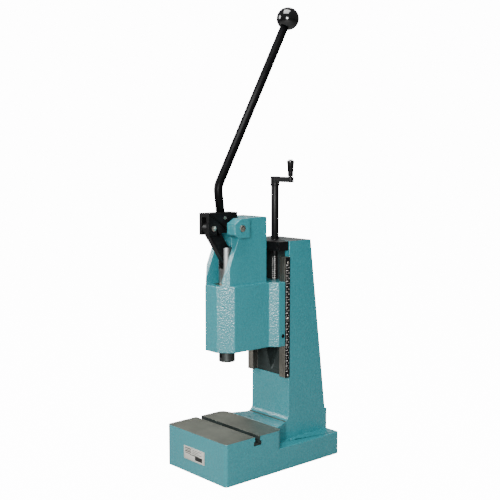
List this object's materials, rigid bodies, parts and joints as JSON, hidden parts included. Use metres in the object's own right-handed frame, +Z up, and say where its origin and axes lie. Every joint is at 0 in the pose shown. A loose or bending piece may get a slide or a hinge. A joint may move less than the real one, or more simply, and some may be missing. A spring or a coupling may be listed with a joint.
{
  "type": "arbor press",
  "caption": "Bench toggle press: cast frame with T-slot table and a crank-adjusted head whose ram is driven by a long ball-ended hand lever.",
  "frame": {"origin": "middle of the underside of the base, on the bench", "axes": "+Z up along the column, -Y towards the operator, +X to the operator's right"},
  "size_m": [0.17, 0.287, 0.8514],
  "materials": {
    "paint": "turquoise hammered enamel on cast iron",
    "machined": "machined steel, fine milling marks",
    "ground": "ground steel shaft",
    "blacked": "blacked steel, semi-gloss",
    "bright": "bright turned steel",
    "bronze": "turned bearing bronze",
    "spring_steel": "drawn spring wire",
    "phenolic": "moulded gloss phenolic",
    "silver": "satin aluminium plate"
  },
  "bodies": {
    "frame": {"frame_casting": "paint", "scale_strip": "blacked", "scale_screw_1": "bright", "scale_screw_2": "bright", "scale_screw_3": "bright", "nameplate": "silver", "bearing_plate": "blacked", "plate_screw_left": "blacked", "plate_screw_right": "blacked"},
    "head": {"head_casting": "paint", "lower_ram_bush": "bronze", "upper_ram_bush": "bronze", "return_spring": "spring_steel", "ram_key_screw": "blacked", "lead_nut": "bronze", "nut_screw_left": "blacked", "nut_screw_right": "blacked", "gib_strip": "machined", "gib_screw": "blacked", "clamp_shoe": "bronze", "clamp_screw": "blacked", "pivot_pin": "bright", "pin_lock_screw": "blacked", "pivot_spacer_left": "machined", "pivot_spacer_right": "machined"},
    "crank": {"lead_screw": "machined", "thrust_collar": "blacked", "crank_tube": "blacked", "crank_arm": "blacked", "tube_pin": "machined", "crank_pin": "machined", "grip_stud": "blacked"},
    "grip": {"crank_grip": "phenolic"},
    "lever": {"lever_hub": "blacked", "lever_rod": "blacked", "ball_knob": "phenolic", "lever_set_screw": "bright", "hub_bush_left": "bronze", "hub_bush_right": "bronze", "link_pin": "blacked"},
    "link": {"toggle_link": "blacked", "link_bush": "bronze"},
    "ram": {"ram": "ground", "spring_collar": "machined", "ram_pin": "bright", "tool_screw": "blacked"}
  },
  "joints": [
    {"name": "head_slide", "type": "slide", "parent": "frame", "child": "head", "axis": [0, 0, 1], "range_m": [-0.06, 0.045]},
    {"name": "crank_turn", "type": "hinge", "parent": "frame", "child": "crank", "pos_m": [0, 0.0505, 0.418], "axis": [0, 0, 1], "range_deg": [-4055, 5405]},
    {"name": "grip_spin", "type": "hinge", "parent": "crank", "child": "grip", "pos_m": [0.042, 0.0505, 0.55], "axis": [0, 0, 1], "continuous": true},
    {"name": "lever_turn", "type": "hinge", "parent": "head", "child": "lever", "pos_m": [0, -0.0688, 0.447], "axis": [1, 0, 0], "range_deg": [0, 60], "stiffness_Nm_per_rad": 1.5, "springref_deg": -34.38},
    {"name": "link_turn", "type": "hinge", "parent": "lever", "child": "link", "pos_m": [0, -0.1088, 0.447], "axis": [1, 0, 0], "range_deg": [-77, 1]},
    {"name": "ram_slide", "type": "slide", "parent": "head", "child": "ram", "axis": [0, 0, -1], "range_m": [0, 0.0443], "deforming": ["return_spring"]}
  ],
  "couplings": [
    {"joint": "crank_turn", "follows": "head_slide", "rad_per_m": -1570.8},
    {"joint": "link_turn", "follows": "lever_turn", "ratio": -1.28},
    {"joint": "ram_slide", "follows": "lever_turn", "m_per_rad": 0.042}
  ]
}
